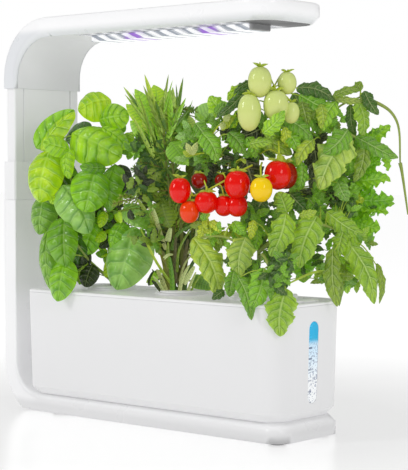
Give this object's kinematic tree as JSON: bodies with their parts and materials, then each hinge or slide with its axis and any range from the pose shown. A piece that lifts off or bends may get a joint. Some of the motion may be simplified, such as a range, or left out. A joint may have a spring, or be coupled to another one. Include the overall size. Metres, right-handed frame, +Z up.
{
  "type": "countertop hydroponic garden",
  "caption": "Countertop hydroponic garden: C-shaped frame with a telescopic lamp column, a lidded water tank with a level window, and planted pods of basil, rosemary and cherry tomatoes.",
  "frame": {"origin": "centre of the base's footprint on the surface that the garden stands on, under the middle foot", "axes": "+X along the tank from the column towards the free end with the water window, -Y towards the front, +Z up"},
  "size_m": [0.4061, 0.171, 0.402],
  "materials": {
    "shell_white": "satin gloss white",
    "satin_white": "satin white",
    "tank_white": "satin gloss white",
    "under_white": "satin light grey",
    "rubber": "matt",
    "steel": "plain",
    "aluminium": "plain",
    "mirror": "polished",
    "clear": "clear",
    "circuit_green": "satin",
    "brass": "plain",
    "window_blue": "clear, tinted",
    "float_blue": "satin",
    "sponge_dark": "open foam",
    "black_plastic": "satin",
    "basil_green": "leaf",
    "rosemary_green": "leaf",
    "tomato_green": "leaf",
    "salad_green": "leaf",
    "fruit_green": "smooth skin",
    "fruit_red": "smooth skin",
    "fruit_yellow": "smooth skin"
  },
  "bodies": {
    "base": {"base_shell": "shell_white", "bottom_cover": "satin_white", "foot_1": "rubber", "foot_2": "rubber", "foot_3": "rubber", "foot_4": "rubber", "foot_5": "rubber", "cover_screw_1": "steel", "cover_screw_2": "steel", "cover_screw_3": "steel", "cover_screw_4": "steel", "power_inlet": "black_plastic", "inlet_board": "circuit_green", "contact_strip": "circuit_green", "column_collar": "shell_white"},
    "lamp": {"slide_column": "shell_white", "column_panel": "satin_white", "friction_pad_front": "rubber", "friction_pad_back": "rubber", "contact_block": "brass", "arm_shell": "shell_white", "arm_under_cover": "under_white", "reflector": "mirror", "lamp_lens": "clear", "lens_end_cap": "under_white", "led_board": "aluminium", "heat_sink": "aluminium", "control_board": "circuit_green"},
    "button": {"power_button": "satin_white"},
    "tank": {"tank": "tank_white", "level_window": "window_blue", "window_gasket": "rubber"},
    "float": {"level_float": "float_blue"},
    "lid": {"tank_lid": "shell_white", "hinge_pin": "steel"},
    "hatch": {"fill_hatch": "shell_white"},
    "pod_1": {"basket_1": "satin_white", "sponge_1": "sponge_dark", "planting_collar_1": "satin_white", "basil_plant": "basil_green"},
    "pod_2": {"basket_2": "satin_white", "sponge_2": "sponge_dark", "planting_collar_2": "satin_white", "rosemary_plant": "rosemary_green"},
    "pod_3": {"basket_3": "satin_white", "sponge_3": "sponge_dark", "planting_collar_3": "satin_white", "tomato_plant": "tomato_green", "salad_greens": "salad_green", "green_tomatoes": "fruit_green", "red_tomatoes_left": "fruit_red", "red_tomatoes_right": "fruit_red", "yellow_tomato": "fruit_yellow"}
  },
  "joints": [
    {"name": "lamp_height", "type": "slide", "parent": "base", "child": "lamp", "axis": [0, 0, 1], "range_m": [-0.025, 0.06]},
    {"name": "power_button_press", "type": "slide", "parent": "lamp", "child": "button", "axis": [0, 0, -1], "range_m": [0, 0.0015], "stiffness_N_per_m": 600, "springref_m": -0.0005},
    {"name": "tank_pull", "type": "slide", "parent": "base", "child": "tank", "axis": [1, 0, 0], "range_m": [0, 0.12]},
    {"name": "level_float_travel", "type": "slide", "parent": "tank", "child": "float", "axis": [0.0289, 0, 0.9996], "range_m": [-0.055, 0]},
    {"name": "lid_lift", "type": "slide", "parent": "tank", "child": "lid", "axis": [0, 0, 1], "range_m": [0, 0.02]},
    {"name": "fill_hatch_hinge", "type": "hinge", "parent": "lid", "child": "hatch", "pos_m": [0.15, 0, 0.1301], "axis": [0, -1, 0], "range_deg": [0, 85]},
    {"name": "pod_1_lift", "type": "slide", "parent": "lid", "child": "pod_1", "axis": [0, 0, 1], "range_m": [0, 0.022]},
    {"name": "pod_2_lift", "type": "slide", "parent": "lid", "child": "pod_2", "axis": [0, 0, 1], "range_m": [0, 0.022]},
    {"name": "pod_3_lift", "type": "slide", "parent": "lid", "child": "pod_3", "axis": [0, 0, 1], "range_m": [0, 0.022]}
  ]
}
